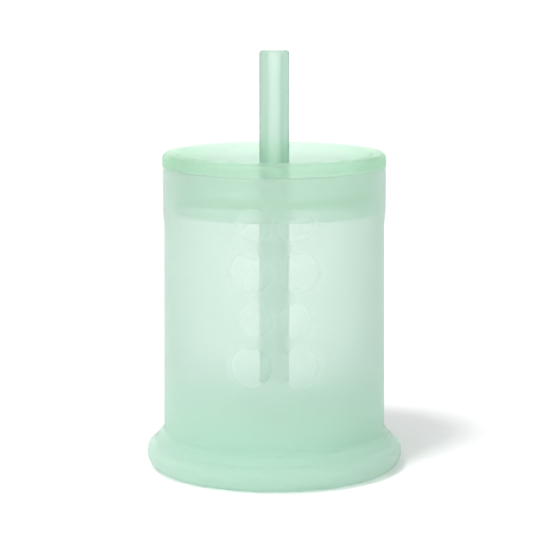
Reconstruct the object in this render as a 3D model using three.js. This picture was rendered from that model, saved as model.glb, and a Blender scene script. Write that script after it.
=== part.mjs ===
// Toddler straw cup: a one-wall silicone cup, a press-in lid shaped as a deep dish, and a straight straw.
// Millimetres, +Z up. The origin is the middle of the base, where the cup stands.

import * as THREE from 'three';

// Cup
const cupHeight = 82.8;
const cupRimRadius = 29.9;
const cupDraft = 0.4;
const cupWall = 2.9;
const boreDraft = 0.4;
const rimEdgeRound = 0.8;
const rimSwell = 0.35;
const swellBlend = 3;

// Foot of the cup
const footRadius = 35;
const footEdgeHeight = 4.3;
const footShoulderHeight = 10.9;
const footShoulderRound = 2.6;
const footCreaseRound = 1.7;
const baseRadius = 31.8;

// Bowl inside the cup
const bowlFloorHeight = 10;
const bowlCornerRound = 20;

// Lid
const beadHeight = 3.3;
const beadOverhang = 0.1;
const beadOuterRound = 1.6;
const beadInnerRound = 1.2;
const plugDepth = 12.8;
const plugWall = 3.1;
const plugEdgeRound = 1.2;
const dishDepth = 11;
const dishFlare = 2.4;
const dishFloor = 2;
const dishCornerRound = 2.5;
const collarDepth = 5.2;
const collarWall = 1.3;
const collarFlare = 2.6;

// Straw
const strawRadius = 4.05;
const strawBoreRadius = 1.75;
const strawStandOut = 27.4;
const strawEdgeRound = 0.9;

// Fits
const plugClearance = 0.3;
const seatGap = 0.3;
const strawClearance = 0.3;
const strawFloorGap = 12.8;

// Facets
const bodySegments = 64;
const strawSegments = 32;
const arcSteps = 4;

// Values that follow from the ones above
const boreRadius = cupRimRadius - cupWall;
const seatHeight = cupHeight + seatGap;
const beadRadius = cupRimRadius + rimSwell + beadOverhang;
const crestHeight = seatHeight + beadHeight;
const plugRadius = boreRadius - plugClearance;
const plugInnerRadius = plugRadius - plugWall;
const plugBottom = seatHeight - plugDepth;
const dishTop = crestHeight - dishDepth;
const dishUnderside = dishTop - dishFloor;
const holeRadius = strawRadius + strawClearance;
const collarRadius = holeRadius + collarWall;
const collarBottom = dishUnderside - collarDepth;
const strawTop = crestHeight + strawStandOut;
const strawBottom = bowlFloorHeight + strawFloorGap;

// A point of a turned profile: its distance from the axis and its height.
function at(radius, height) {
  return new THREE.Vector2(radius, height);
}

// Points along an arc about a centre. Angles are in degrees, 0 straight outwards and 90 straight up.
function arc(centreRadius, centreHeight, round, fromDegrees, toDegrees) {
  const points = [];
  for (let step = 0; step <= arcSteps; step += 1) {
    const degrees = fromDegrees + ((toDegrees - fromDegrees) * step) / arcSteps;
    const angle = THREE.MathUtils.degToRad(degrees);
    points.push(at(centreRadius + round * Math.cos(angle), centreHeight + round * Math.sin(angle)));
  }
  return points;
}

// A moulding turned about Z. Its profile runs up the outside and down the inside.
function turned(name, profile, segments, material) {
  const geometry = new THREE.LatheGeometry(profile, segments);
  geometry.rotateX(Math.PI / 2);
  const mesh = new THREE.Mesh(geometry, material);
  mesh.name = name;
  return mesh;
}

function frostedSilicone(color) {
  return new THREE.MeshStandardMaterial({ color, roughness: 0.5, metalness: 0 });
}

// The foot slopes out from the base to a crisp edge, rounds over it, and meets the wall in a crease.
function footProfile() {
  const wallRadius = cupRimRadius + cupDraft;
  return [
    at(baseRadius, 0),
    at(footRadius, footEdgeHeight),
    ...arc(footRadius - footShoulderRound, footEdgeHeight + 0.3, footShoulderRound, 0, 75),
    ...arc(wallRadius + footCreaseRound, footShoulderHeight, footCreaseRound, 250, 180),
  ];
}

// The wall swells a little where the lid's plug stretches it.
function rimProfile() {
  const swollenRadius = cupRimRadius + rimSwell;
  return [
    at(cupRimRadius, plugBottom - swellBlend),
    at(swollenRadius, plugBottom),
    ...arc(swollenRadius - rimEdgeRound, cupHeight - rimEdgeRound, rimEdgeRound, 0, 90),
    at(boreRadius, cupHeight),
  ];
}

// The bore narrows towards a rounded bowl, and the base below the bowl is solid.
function bowlProfile() {
  const bowlRadius = boreRadius - boreDraft;
  const cornerHeight = bowlFloorHeight + bowlCornerRound;
  return [
    at(boreRadius, plugBottom - swellBlend),
    ...arc(bowlRadius - bowlCornerRound, cornerHeight, bowlCornerRound, 0, -90),
  ];
}

function makeCupBody() {
  const profile = [
    at(0, 0),
    ...footProfile(),
    ...rimProfile(),
    ...bowlProfile(),
    at(0, bowlFloorHeight),
  ];
  return turned('cup_body', profile, bodySegments, frostedSilicone(0xbfe6cf));
}

// The bead that sits on the cup's rim, and the dish inside it, down to the hole for the straw.
function dishProfile() {
  const crestRadius = plugInnerRadius + dishFlare;
  return [
    at(beadRadius, seatHeight),
    ...arc(beadRadius - beadOuterRound, crestHeight - beadOuterRound, beadOuterRound, 0, 90),
    ...arc(crestRadius + beadInnerRound, crestHeight - beadInnerRound, beadInnerRound, 90, 180),
    ...arc(plugInnerRadius - dishCornerRound, dishTop + dishCornerRound, dishCornerRound, 0, -90),
    at(holeRadius, dishTop),
  ];
}

// The collar under the dish holds the straw, and a fillet joins it to the dish's floor.
function collarProfile() {
  const filletHeight = dishUnderside - collarFlare;
  return [
    at(holeRadius, collarBottom),
    at(collarRadius, collarBottom),
    ...arc(collarRadius + collarFlare, filletHeight, collarFlare, 180, 90),
  ];
}

// The plug is the skirt that presses into the cup.
function plugProfile() {
  const edgeHeight = plugBottom + plugEdgeRound;
  return [
    at(plugInnerRadius, dishUnderside),
    ...arc(plugInnerRadius + plugEdgeRound, edgeHeight, plugEdgeRound, 180, 270),
    ...arc(plugRadius - plugEdgeRound, edgeHeight, plugEdgeRound, 270, 360),
    at(plugRadius, seatHeight),
    at(beadRadius, seatHeight),
  ];
}

function makeLid() {
  const profile = [...dishProfile(), ...collarProfile(), ...plugProfile()];
  return turned('lid', profile, bodySegments, frostedSilicone(0xb9e2ca));
}

function makeStraw() {
  const edgeRadius = strawRadius - strawEdgeRound;
  const innerEdgeRadius = strawBoreRadius + strawEdgeRound;
  const profile = [
    at(strawRadius, strawBottom),
    ...arc(edgeRadius, strawTop - strawEdgeRound, strawEdgeRound, 0, 90),
    ...arc(innerEdgeRadius, strawTop - strawEdgeRound, strawEdgeRound, 90, 180),
    at(strawBoreRadius, strawBottom),
    at(strawRadius, strawBottom),
  ];
  return turned('straw', profile, strawSegments, frostedSilicone(0xc8ebd7));
}

const strawCup = new THREE.Group();
strawCup.add(makeCupBody());
strawCup.add(makeLid());
strawCup.add(makeStraw());

export default strawCup;
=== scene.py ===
"""A toddler's straw cup in frosted mint silicone: the cup, its press-in lid and its straw."""

import math

import bpy
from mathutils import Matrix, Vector


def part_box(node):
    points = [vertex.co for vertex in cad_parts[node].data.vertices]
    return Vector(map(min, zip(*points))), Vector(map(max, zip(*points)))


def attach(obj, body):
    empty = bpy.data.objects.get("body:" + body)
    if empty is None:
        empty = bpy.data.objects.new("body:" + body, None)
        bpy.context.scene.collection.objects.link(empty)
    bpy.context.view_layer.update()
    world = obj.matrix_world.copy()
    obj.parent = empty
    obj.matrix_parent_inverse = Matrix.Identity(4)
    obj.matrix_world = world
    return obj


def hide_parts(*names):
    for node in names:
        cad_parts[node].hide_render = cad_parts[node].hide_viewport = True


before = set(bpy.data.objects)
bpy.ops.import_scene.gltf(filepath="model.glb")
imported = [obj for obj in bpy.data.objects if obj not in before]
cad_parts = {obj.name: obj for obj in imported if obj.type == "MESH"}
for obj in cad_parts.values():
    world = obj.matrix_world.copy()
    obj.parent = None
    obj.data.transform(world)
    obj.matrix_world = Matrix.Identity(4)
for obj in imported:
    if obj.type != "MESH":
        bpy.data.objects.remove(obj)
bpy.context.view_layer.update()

MM = 0.001

# ---------------------------------------------------------------- sizes taken from the frame

cup_low, cup_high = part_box("cup_body")
lid_low, lid_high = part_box("lid")
straw_low, straw_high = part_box("straw")

FOOT_RADIUS = cup_high.x
RIM_HEIGHT = cup_high.z
BEAD_RADIUS = lid_high.x
CREST_HEIGHT = lid_high.z
COLLAR_BOTTOM = lid_low.z
STRAW_RADIUS = straw_high.x
STRAW_BOTTOM = straw_low.z
STRAW_TOP = straw_high.z

# ---------------------------------------------------------------- sizes of the mouldings

WALL_RADIUS_AT_RIM = 29.9 * MM
WALL_DRAFT = 0.4 * MM
WALL = 2.9 * MM
BORE_DRAFT = 0.4 * MM
RIM_SWELL = 0.35 * MM
SWELL_BLEND = 3 * MM
RIM_ROUND = 0.8 * MM
SHOULDER_HEIGHT = 10.9 * MM
CREASE_ROUND = 1.7 * MM
SHOULDER_ROUND = 2.8 * MM
SHOULDER_EDGE = 4.4 * MM
BASE_RADIUS = 31.8 * MM
BASE_EDGE = 4.1 * MM
BASE_BULGE = 1.0 * MM
BOWL_FLOOR = 10 * MM
BOWL_ROUND = 20 * MM

PLUG_BOTTOM = 70.3 * MM
PLUG_GAP = 0.12 * MM
PLUG_WALL = 3.1 * MM
PLUG_EDGE_ROUND = 1.2 * MM
SEAT_GAP = 0.1 * MM
BEAD_ROUND = 1.6 * MM
CREST_ROUND = 1.2 * MM
DISH_DEPTH = 11 * MM
DISH_TOP = CREST_HEIGHT - DISH_DEPTH
DISH_FLOOR = 2 * MM
DISH_FLARE = 2.4 * MM
DISH_ROUND = 2.5 * MM
COLLAR_WALL = 1.3 * MM
COLLAR_FLARE = 2.6 * MM
STRAW_GAP = 0.1 * MM

STRAW_BORE = 1.9 * MM
STRAW_ROUND = 0.9 * MM

DOT_ROWS = 4
LOWEST_DOT_ROW = 32.6 * MM
DOT_ROW_PITCH = 12.6 * MM
LARGE_DOT = 6.1 * MM
SMALL_DOT = 5.0 * MM
DOT_DEPTH = 0.15 * MM
DOT_EDGE = 0.35
BORE_SLACK = 0.5 * MM

# ---------------------------------------------------------------- fineness of the meshes

SIDES = 240
LINE_STEP = 0.6 * MM
ARC_STEP_DEGREES = 6
BOW_STEPS = 10
WELD_REACH = 0.01 * MM

# ---------------------------------------------------------------- light and camera

# The room's white light: a level all round, and how much each side adds to it or takes from it.
ROOM_LEVEL = 0.7822
ROOM_BEHIND = 0.9
BEHIND_NARROWNESS = 4.025
ROOM_IN_FRONT = 1.25
ROOM_ABOVE = 0.008826
ROOM_AT_LEFT = -0.35
ROOM_AT_RIGHT = -0.75

KEY_POWER = 1.451
KEY_SPREAD_DEGREES = 12
KEY_FROM = (-0.294, -0.405, 0.866)
LIGHT_BOUNCES = 32

CAMERA_PLACE = (0, -0.597, 0.1506)
CAMERA_AIM = (0.0002, 0, 0.0526)
CAMERA_LENS = 145
CAMERA_SENSOR = 36

FLOOR_REACH = 5
FLOOR_DROP = 0.05 * MM
FLOOR_WHITE = (0.9, 0.9, 0.9, 1)
FLOOR_ROUGHNESS = 0.9

# ---------------------------------------------------------------- the silicone

# Skin is the tint of the surface. Loss is what a metre takes from red, green and blue. Milk is how
# often light is scattered in a metre, and lean is how far it keeps its way then.
CUP_SKIN = (0.96, 0.99, 0.98)
CUP_LOSS = (22.85, 4.2, 13.6)
CUP_MILK = 187.1
LID_SKIN = (0.96, 0.99, 0.98)
LID_LOSS = (52.0, 6.0, 38.0)
LID_MILK = 107.4
STRAW_SKIN = (0.97, 0.99, 0.98)
STRAW_LOSS = (125.0, 60.0, 95.0)
STRAW_MILK = 0
LEAN = 0.4081

# How strongly light is bent at the surface. It is low, because frosting hides the real bend.
MOULDING_BEND = 1.092
STRAW_BEND = 1.3

# Roughness of the etched faces, the share of it that is left in a dot, and how much it varies.
OUTER_ETCH = 0.33
INNER_ETCH = 0.36
DOT_ETCH = 0.2
ETCH_SPREAD = 0.25

# Share of light that the etched faces throw back, and how much more the dots throw back.
OUTER_VEIL = 0.07702
INNER_VEIL = 0.07
DOT_BLOOM = 0.45

GRAIN_PER_METRE = 2600
GRAIN_DETAIL = 3
GRAIN_DEPTH = 0.04 * MM
GRAIN_STRENGTH = 0.1
DRIFT_PER_METRE = 70
DRIFT_DETAIL = 2
TINT_DRIFT = 0.2

# Edges sharper than the first value start to look rubbed, and from the second on they are pale.
EDGE_SHARPNESS = (0.52, 0.6)
EDGE_WEAR = 0.3

# ---------------------------------------------------------------- drawing profiles


def line(start, end):
    """Points from start up to, but not including, end, as (radius, height)."""
    length = math.dist(start, end)
    steps = max(1, round(length / LINE_STEP))
    return [
        (start[0] + (end[0] - start[0]) * i / steps, start[1] + (end[1] - start[1]) * i / steps)
        for i in range(steps)
    ]


def arc(centre, radius, start_degrees, end_degrees):
    """Points along an arc, ends included. 0 degrees is straight outwards and 90 straight up."""
    steps = max(2, round(abs(end_degrees - start_degrees) / ARC_STEP_DEGREES))
    points = []
    for i in range(steps + 1):
        angle = math.radians(start_degrees + (end_degrees - start_degrees) * i / steps)
        points.append((centre[0] + radius * math.cos(angle), centre[1] + radius * math.sin(angle)))
    return points


def bow(start, end, rise):
    """A shallow curve from start to end that stands proud of the line by rise, to its right."""
    along = (end[0] - start[0], end[1] - start[1])
    length = math.hypot(*along)
    control = (
        (start[0] + end[0]) / 2 + 2 * rise * along[1] / length,
        (start[1] + end[1]) / 2 - 2 * rise * along[0] / length,
    )
    points = []
    for i in range(BOW_STEPS + 1):
        t = i / BOW_STEPS
        points.append(
            tuple(
                (1 - t) ** 2 * a + 2 * t * (1 - t) * c + t**2 * b
                for a, c, b in zip(start, control, end)
            )
        )
    return points


def joined(*stretches):
    """One outline from arcs and single points, with straight runs between them filled in."""
    outline = list(stretches[0])
    for stretch in stretches[1:]:
        outline += line(outline.pop(), stretch[0])
        outline += stretch
    return outline


def cup_outline():
    """From the middle of the base up the outside, over the rim and down to the bowl's floor."""
    wall_at_foot = WALL_RADIUS_AT_RIM + WALL_DRAFT
    swollen = WALL_RADIUS_AT_RIM + RIM_SWELL
    bore = WALL_RADIUS_AT_RIM - WALL
    bowl = bore - BORE_DRAFT
    return joined(
        [(0, 0)],
        bow((BASE_RADIUS, 0), (FOOT_RADIUS, BASE_EDGE), BASE_BULGE),
        arc((FOOT_RADIUS - SHOULDER_ROUND, SHOULDER_EDGE), SHOULDER_ROUND, 0, 72),
        arc((wall_at_foot + CREASE_ROUND, SHOULDER_HEIGHT), CREASE_ROUND, 252, 180),
        [(WALL_RADIUS_AT_RIM, PLUG_BOTTOM - SWELL_BLEND)],
        [(swollen, PLUG_BOTTOM)],
        arc((swollen - RIM_ROUND, RIM_HEIGHT - RIM_ROUND), RIM_ROUND, 0, 90),
        [(bore, RIM_HEIGHT)],
        [(bore, PLUG_BOTTOM - SWELL_BLEND)],
        arc((bowl - BOWL_ROUND, BOWL_FLOOR + BOWL_ROUND), BOWL_ROUND, 0, -90),
        [(0, BOWL_FLOOR)],
    )


def lid_outline():
    """Round the bead, down the dish to the straw's hole, and back under the floor and the plug."""
    seat = RIM_HEIGHT + SEAT_GAP
    plug = WALL_RADIUS_AT_RIM - WALL - PLUG_GAP
    dish = plug - PLUG_WALL
    crest = dish + DISH_FLARE
    hole = STRAW_RADIUS + STRAW_GAP
    collar = hole + COLLAR_WALL
    under = DISH_TOP - DISH_FLOOR
    edge = PLUG_BOTTOM + PLUG_EDGE_ROUND
    return joined(
        [(BEAD_RADIUS, seat)],
        arc((BEAD_RADIUS - BEAD_ROUND, CREST_HEIGHT - BEAD_ROUND), BEAD_ROUND, 0, 90),
        arc((crest + CREST_ROUND, CREST_HEIGHT - CREST_ROUND), CREST_ROUND, 90, 180),
        arc((dish - DISH_ROUND, DISH_TOP + DISH_ROUND), DISH_ROUND, 0, -90),
        [(hole, DISH_TOP)],
        [(hole, COLLAR_BOTTOM)],
        [(collar, COLLAR_BOTTOM)],
        arc((collar + COLLAR_FLARE, under - COLLAR_FLARE), COLLAR_FLARE, 180, 90),
        [(dish, under)],
        arc((dish + PLUG_EDGE_ROUND, edge), PLUG_EDGE_ROUND, 180, 270),
        arc((plug - PLUG_EDGE_ROUND, edge), PLUG_EDGE_ROUND, 270, 360),
        [(plug, seat)],
        [(BEAD_RADIUS, seat)],
    )


def straw_outline():
    """Up the outside, over the rounded lip and down the bore."""
    lip = STRAW_TOP - STRAW_ROUND
    return joined(
        [(STRAW_RADIUS, STRAW_BOTTOM)],
        arc((STRAW_RADIUS - STRAW_ROUND, lip), STRAW_ROUND, 0, 90),
        arc((STRAW_BORE + STRAW_ROUND, lip), STRAW_ROUND, 90, 180),
        [(STRAW_BORE, STRAW_BOTTOM)],
        [(STRAW_RADIUS, STRAW_BOTTOM)],
    )


# ---------------------------------------------------------------- node helpers


class Nodes:
    """A short way to add nodes to a tree and wire them."""

    def __init__(self, tree):
        self.tree = tree

    def add(self, kind, inputs=None, **settings):
        node = self.tree.nodes.new(kind)
        for name, value in settings.items():
            setattr(node, name, value)
        for key, value in (inputs or {}).items():
            self.put(node.inputs[key], value)
        return node

    def put(self, socket, value):
        if isinstance(value, bpy.types.NodeSocket):
            self.tree.links.new(value, socket)
        else:
            socket.default_value = value

    def math(self, operation, *values):
        node = self.add("ShaderNodeMath", operation=operation)
        for i, value in enumerate(values):
            self.put(node.inputs[i], value)
        return node.outputs[0]

    def hypotenuse(self, a, b):
        squares = self.math("ADD", self.math("MULTIPLY", a, a), self.math("MULTIPLY", b, b))
        return self.math("SQRT", squares)


def geometry_tree(name, inputs):
    tree = bpy.data.node_groups.new(name, "GeometryNodeTree")
    tree.interface.new_socket("Geometry", in_out="INPUT", socket_type="NodeSocketGeometry")
    for label, kind in inputs:
        tree.interface.new_socket(label, in_out="INPUT", socket_type=kind)
    tree.interface.new_socket("Geometry", in_out="OUTPUT", socket_type="NodeSocketGeometry")
    return tree


def set_inputs(modifier, values):
    """Sets a Geometry Nodes modifier's inputs by the names that its tree gives them."""
    for item in modifier.node_group.interface.items_tree:
        if item.item_type == "SOCKET" and item.in_out == "INPUT" and item.name in values:
            modifier[item.identifier] = values[item.name]


# ---------------------------------------------------------------- the turning tree


def turning_tree():
    """Turns an outline, a row of vertices in the XZ plane, about Z and welds seam and poles."""
    tree = geometry_tree(
        "turned moulding", [("Sides", "NodeSocketInt"), ("Material", "NodeSocketMaterial")]
    )
    n = Nodes(tree)
    given = n.add("NodeGroupInput")
    outline = given.outputs["Geometry"]
    count = n.add("GeometryNodeAttributeDomainSize", {"Geometry": outline}).outputs["Point Count"]
    columns = n.math("ADD", given.outputs["Sides"], 1)
    sheet = n.add("GeometryNodeMeshGrid", {"Vertices X": columns, "Vertices Y": count})
    index = n.add("GeometryNodeInputIndex").outputs[0]
    column = n.math("FLOOR", n.math("DIVIDE", n.math("ADD", index, 0.5), count))
    row = n.math("SUBTRACT", index, n.math("MULTIPLY", column, count))
    place = n.add("GeometryNodeInputPosition").outputs[0]
    sample = n.add(
        "GeometryNodeSampleIndex",
        {"Geometry": outline, "Index": row},
        data_type="FLOAT_VECTOR",
    )
    n.put(next(s for s in sample.inputs if s.name == "Value" and s.enabled), place)
    drawn = n.add("ShaderNodeSeparateXYZ", {"Vector": next(s for s in sample.outputs if s.enabled)})
    turn = n.math("DIVIDE", n.math("MULTIPLY", column, math.tau), given.outputs["Sides"])
    turned = n.add(
        "ShaderNodeCombineXYZ",
        {
            "X": n.math("MULTIPLY", drawn.outputs["X"], n.math("COSINE", turn)),
            "Y": n.math("MULTIPLY", drawn.outputs["X"], n.math("SINE", turn)),
            "Z": drawn.outputs["Z"],
        },
    )
    moved = n.add(
        "GeometryNodeSetPosition",
        {"Geometry": sheet.outputs["Mesh"], "Position": turned.outputs[0]},
    )
    welded = n.add(
        "GeometryNodeMergeByDistance", {"Geometry": moved.outputs[0], "Distance": WELD_REACH}
    )
    smooth = n.add("GeometryNodeSetShadeSmooth", {"Geometry": welded.outputs[0]})
    real = n.add("GeometryNodeRealizeInstances", {"Geometry": smooth.outputs[0]})
    painted = n.add(
        "GeometryNodeSetMaterial",
        {"Geometry": real.outputs[0], "Material": given.outputs["Material"]},
    )
    n.add("NodeGroupOutput", {"Geometry": painted.outputs[0]})
    return tree


def turned(name, outline, material, tree):
    mesh = bpy.data.meshes.new(name)
    mesh.from_pydata([(radius, 0, height) for radius, height in outline], [], [])
    drawing = bpy.data.objects.new(name + "_outline", mesh)
    bpy.context.scene.collection.objects.link(drawing)
    modifier = drawing.modifiers.new("turn", "NODES")
    modifier.node_group = tree
    set_inputs(modifier, {"Sides": SIDES, "Material": material})
    depsgraph = bpy.context.evaluated_depsgraph_get()
    finished = bpy.data.meshes.new_from_object(drawing.evaluated_get(depsgraph))
    bpy.data.objects.remove(drawing)
    piece = bpy.data.objects.new(name, finished)
    bpy.context.scene.collection.objects.link(piece)
    return piece


# ---------------------------------------------------------------- the dots pressed into the bore


def dots_tree():
    """Presses shallow dots into a bore and polishes both faces of the wall there.

    The dots sit in rows, as pairs that meet at the front and at the back. Rows of large and small
    dots take turns.
    """
    tree = geometry_tree(
        "pressed dots",
        [
            ("Bore radius", "NodeSocketFloat"),
            ("Rows", "NodeSocketInt"),
            ("Lowest row", "NodeSocketFloat"),
            ("Row pitch", "NodeSocketFloat"),
            ("Large dot", "NodeSocketFloat"),
            ("Small dot", "NodeSocketFloat"),
            ("Depth", "NodeSocketFloat"),
            ("Edge", "NodeSocketFloat"),
            ("Material", "NodeSocketMaterial"),
        ],
    )
    n = Nodes(tree)
    given = n.add("NodeGroupInput").outputs
    place = n.add(
        "ShaderNodeSeparateXYZ", {"Vector": n.add("GeometryNodeInputPosition").outputs[0]}
    ).outputs
    above_lowest = n.math("SUBTRACT", place["Z"], given["Lowest row"])
    height = n.math("DIVIDE", above_lowest, given["Row pitch"])
    top_row = n.math("SUBTRACT", given["Rows"], 1.0)
    row = n.math("MINIMUM", n.math("MAXIMUM", n.math("ROUND", height), 0.0), top_row)
    up = n.math("MULTIPLY", n.math("SUBTRACT", height, row), given["Row pitch"])
    odd = n.math("MODULO", row, 2.0)
    smaller = n.math("SUBTRACT", given["Small dot"], given["Large dot"])
    radius = n.math("MULTIPLY_ADD", odd, smaller, given["Large dot"])
    across = n.math("ARCTAN2", n.math("ABSOLUTE", place["X"]), n.math("ABSOLUTE", place["Y"]))
    around = n.math("SUBTRACT", n.math("MULTIPLY", across, given["Bore radius"]), radius)
    share = n.math("DIVIDE", n.hypotenuse(around, up), radius)
    soft = n.add(
        "ShaderNodeMapRange",
        {
            "Value": share,
            "From Min": n.math("SUBTRACT", 1.0, given["Edge"]),
            "From Max": 1.0,
            "To Min": 1.0,
            "To Max": 0.0,
        },
        interpolation_type="SMOOTHSTEP",
    ).outputs[0]
    from_axis = n.hypotenuse(place["X"], place["Y"])
    in_bore = n.math("LESS_THAN", from_axis, n.math("ADD", given["Bore radius"], BORE_SLACK))
    lowest_edge = n.math("SUBTRACT", given["Lowest row"], given["Large dot"])
    above_bowl = n.math("GREATER_THAN", place["Z"], lowest_edge)
    polished = n.math("MULTIPLY", soft, above_bowl)
    pressed = n.math("MULTIPLY", polished, in_bore)
    outwards = n.math("DIVIDE", n.math("MULTIPLY", pressed, given["Depth"]), from_axis)
    shift = n.add(
        "ShaderNodeCombineXYZ",
        {
            "X": n.math("MULTIPLY", place["X"], outwards),
            "Y": n.math("MULTIPLY", place["Y"], outwards),
        },
    )
    marked = given["Geometry"]
    for label, value in (("inside", in_bore), ("polished", polished)):
        marked = n.add(
            "GeometryNodeStoreNamedAttribute",
            {"Geometry": marked, "Name": label, "Value": value},
            data_type="FLOAT",
            domain="POINT",
        ).outputs[0]
    moved = n.add("GeometryNodeSetPosition", {"Geometry": marked, "Offset": shift.outputs[0]})
    real = n.add("GeometryNodeRealizeInstances", {"Geometry": moved.outputs[0]})
    painted = n.add(
        "GeometryNodeSetMaterial", {"Geometry": real.outputs[0], "Material": given["Material"]}
    )
    n.add("NodeGroupOutput", {"Geometry": painted.outputs[0]})
    return tree


def press_dots(cup, material):
    modifier = cup.modifiers.new("dots", "NODES")
    modifier.node_group = dots_tree()
    set_inputs(
        modifier,
        {
            "Bore radius": WALL_RADIUS_AT_RIM - WALL,
            "Rows": DOT_ROWS,
            "Lowest row": LOWEST_DOT_ROW,
            "Row pitch": DOT_ROW_PITCH,
            "Large dot": LARGE_DOT,
            "Small dot": SMALL_DOT,
            "Depth": DOT_DEPTH,
            "Edge": DOT_EDGE,
            "Material": material,
        },
    )
    depsgraph = bpy.context.evaluated_depsgraph_get()
    pressed = bpy.data.meshes.new_from_object(cup.evaluated_get(depsgraph))
    cup.modifiers.clear()
    cup.data = pressed


# ---------------------------------------------------------------- materials


def frosted_silicone(name, skin, loss, milk, bend):
    """Milky silicone: an etched skin over a depth that scatters light and takes red first."""
    material = bpy.data.materials.new(name)
    material.use_nodes = True
    tree = material.node_tree
    tree.nodes.clear()
    n = Nodes(tree)
    place = n.add("ShaderNodeTexCoord").outputs["Object"]
    grain = n.add(
        "ShaderNodeTexNoise", {"Vector": place, "Scale": GRAIN_PER_METRE, "Detail": GRAIN_DETAIL}
    ).outputs["Fac"]
    drift = n.add(
        "ShaderNodeTexNoise", {"Vector": place, "Scale": DRIFT_PER_METRE, "Detail": DRIFT_DETAIL}
    ).outputs["Fac"]
    polished = n.add("ShaderNodeAttribute", attribute_name="polished").outputs["Fac"]
    inside = n.add("ShaderNodeAttribute", attribute_name="inside").outputs["Fac"]
    frosted = n.math("SUBTRACT", 1.0, polished)

    def by_side(outer, inner):
        return n.math("ADD", outer, n.math("MULTIPLY", inside, inner - outer))

    left = n.math("MULTIPLY_ADD", frosted, 1 - DOT_ETCH, DOT_ETCH)
    etch = n.math("MULTIPLY", by_side(OUTER_ETCH, INNER_ETCH), left)
    uneven = n.math("MULTIPLY_ADD", n.math("ADD", grain, drift), ETCH_SPREAD, 1 - ETCH_SPREAD)
    bloom = n.math("MULTIPLY_ADD", polished, DOT_BLOOM, 1.0)
    veil = n.math("MULTIPLY", by_side(OUTER_VEIL, INNER_VEIL), bloom)
    rubbed = n.add(
        "ShaderNodeMapRange",
        {
            "Value": n.add("ShaderNodeNewGeometry").outputs["Pointiness"],
            "From Min": EDGE_SHARPNESS[0],
            "From Max": EDGE_SHARPNESS[1],
        },
    ).outputs[0]
    patchy = n.math("MULTIPLY", drift, TINT_DRIFT)
    paler = n.math("ADD", n.math("MULTIPLY", rubbed, EDGE_WEAR), patchy)
    tint = n.add(
        "ShaderNodeMixRGB", {"Fac": paler, "Color1": (*skin, 1), "Color2": (1, 1, 1, 1)}
    ).outputs[0]
    bump = n.add(
        "ShaderNodeBump", {"Strength": GRAIN_STRENGTH, "Distance": GRAIN_DEPTH, "Height": grain}
    ).outputs[0]
    shader = n.add(
        "ShaderNodeBsdfPrincipled",
        {
            "Base Color": tint,
            "Roughness": n.math("MULTIPLY", etch, uneven),
            "IOR": bend,
            "Transmission Weight": n.math("SUBTRACT", 1.0, veil),
            "Normal": bump,
        },
    )
    kept = [1 - share / max(loss) for share in loss]
    tinted = n.add("ShaderNodeVolumeAbsorption", {"Color": (*kept, 1), "Density": max(loss)})
    cloudy = n.add(
        "ShaderNodeVolumeScatter", {"Color": (1, 1, 1, 1), "Density": milk, "Anisotropy": LEAN}
    )
    inner = n.add("ShaderNodeAddShader")
    n.put(inner.inputs[0], tinted.outputs[0])
    n.put(inner.inputs[1], cloudy.outputs[0])
    out = n.add("ShaderNodeOutputMaterial")
    n.put(out.inputs["Surface"], shader.outputs[0])
    n.put(out.inputs["Volume"], inner.outputs[0])
    return material


def floor_paper():
    material = bpy.data.materials.new("white paper sweep")
    material.use_nodes = True
    shader = material.node_tree.nodes["Principled BSDF"]
    shader.inputs["Base Color"].default_value = FLOOR_WHITE
    shader.inputs["Roughness"].default_value = FLOOR_ROUGHNESS
    shader.inputs["Specular IOR Level"].default_value = 0.0
    return material


# ---------------------------------------------------------------- stage


def add_floor():
    mesh = bpy.data.meshes.new("floor")
    corners = [
        (-FLOOR_REACH, -FLOOR_REACH, 0),
        (FLOOR_REACH, -FLOOR_REACH, 0),
        (FLOOR_REACH, FLOOR_REACH, 0),
        (-FLOOR_REACH, FLOOR_REACH, 0),
    ]
    mesh.from_pydata(corners, [], [(0, 1, 2, 3)])
    mesh.materials.append(floor_paper())
    floor = bpy.data.objects.new("floor", mesh)
    bpy.context.scene.collection.objects.link(floor)
    floor.location.z = -FLOOR_DROP


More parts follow.
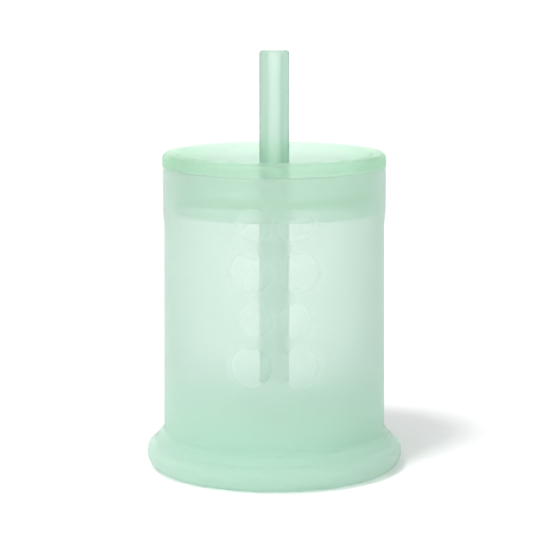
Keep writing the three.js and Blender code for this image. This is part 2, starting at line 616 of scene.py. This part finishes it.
def add_world():
    """A white room, brightest in front of and behind the cup. Seen directly, it is plain white."""
    world = bpy.data.worlds.new("studio")
    bpy.context.scene.world = world
    world.use_nodes = True
    tree = world.node_tree
    tree.nodes.clear()
    n = Nodes(tree)
    toward = n.add(
        "ShaderNodeSeparateXYZ", {"Vector": n.add("ShaderNodeTexCoord").outputs["Generated"]}
    ).outputs
    room = ROOM_LEVEL
    for axis, sign, narrowness, strength in (
        ("Y", 1, BEHIND_NARROWNESS, ROOM_BEHIND),
        ("Y", -1, 1, ROOM_IN_FRONT),
        ("Z", 1, 1, ROOM_ABOVE),
        ("X", -1, 1, ROOM_AT_LEFT),
        ("X", 1, 1, ROOM_AT_RIGHT),
    ):
        facing = n.math("MAXIMUM", n.math("MULTIPLY", toward[axis], sign), 0)
        wall = n.math("MULTIPLY", n.math("POWER", facing, narrowness), strength)
        room = n.math("ADD", room, wall)
    seen = n.add("ShaderNodeLightPath").outputs["Is Camera Ray"]
    strength = n.math("MAXIMUM", n.math("MULTIPLY", n.math("SUBTRACT", 1, seen), room), seen)
    background = n.add("ShaderNodeBackground", {"Color": (1, 1, 1, 1), "Strength": strength})
    n.add("ShaderNodeOutputWorld", {"Surface": background.outputs[0]})


def add_key(name, source, spread_degrees, power):
    """A large soft source, far off, so that it lights the whole floor evenly."""
    light = bpy.data.lights.new(name, "SUN")
    light.angle = math.radians(spread_degrees)
    light.energy = power
    lamp = bpy.data.objects.new(name, light)
    lamp.rotation_euler = direction(source, (0, 0, 0))
    bpy.context.scene.collection.objects.link(lamp)


def direction(place, aim):
    return (Vector(aim) - Vector(place)).to_track_quat("-Z", "Y").to_euler()


def add_camera():
    camera = bpy.data.cameras.new("camera")
    camera.sensor_width = CAMERA_SENSOR
    camera.lens = CAMERA_LENS
    view = bpy.data.objects.new("camera", camera)
    view.location = CAMERA_PLACE
    view.rotation_euler = direction(CAMERA_PLACE, CAMERA_AIM)
    bpy.context.scene.collection.objects.link(view)
    bpy.context.scene.camera = view
    bpy.context.scene.view_settings.view_transform = "Standard"
    cycles = bpy.context.scene.cycles
    cycles.max_bounces = LIGHT_BOUNCES
    cycles.transmission_bounces = LIGHT_BOUNCES
    cycles.volume_bounces = LIGHT_BOUNCES


# ---------------------------------------------------------------- assembly

add_camera()
add_floor()
add_world()
add_key("key light", KEY_FROM, KEY_SPREAD_DEGREES, KEY_POWER)

tree = turning_tree()
cup_silicone = frosted_silicone("cup silicone", CUP_SKIN, CUP_LOSS, CUP_MILK, MOULDING_BEND)
lid_silicone = frosted_silicone("lid silicone", LID_SKIN, LID_LOSS, LID_MILK, MOULDING_BEND)
straw_silicone = frosted_silicone(
    "straw silicone", STRAW_SKIN, STRAW_LOSS, STRAW_MILK, STRAW_BEND
)
cup = turned("cup_moulding", cup_outline(), cup_silicone, tree)
press_dots(cup, cup_silicone)
lid = turned("lid_moulding", lid_outline(), lid_silicone, tree)
straw = turned("straw_tube", straw_outline(), straw_silicone, tree)
for piece, body, node, slot in (
    (cup, "cup", "cup_body", "cup_silicone"),
    (lid, "lid", "lid", "lid_silicone"),
    (straw, "straw", "straw", "straw_silicone"),
):
    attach(piece, body)
    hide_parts(node)
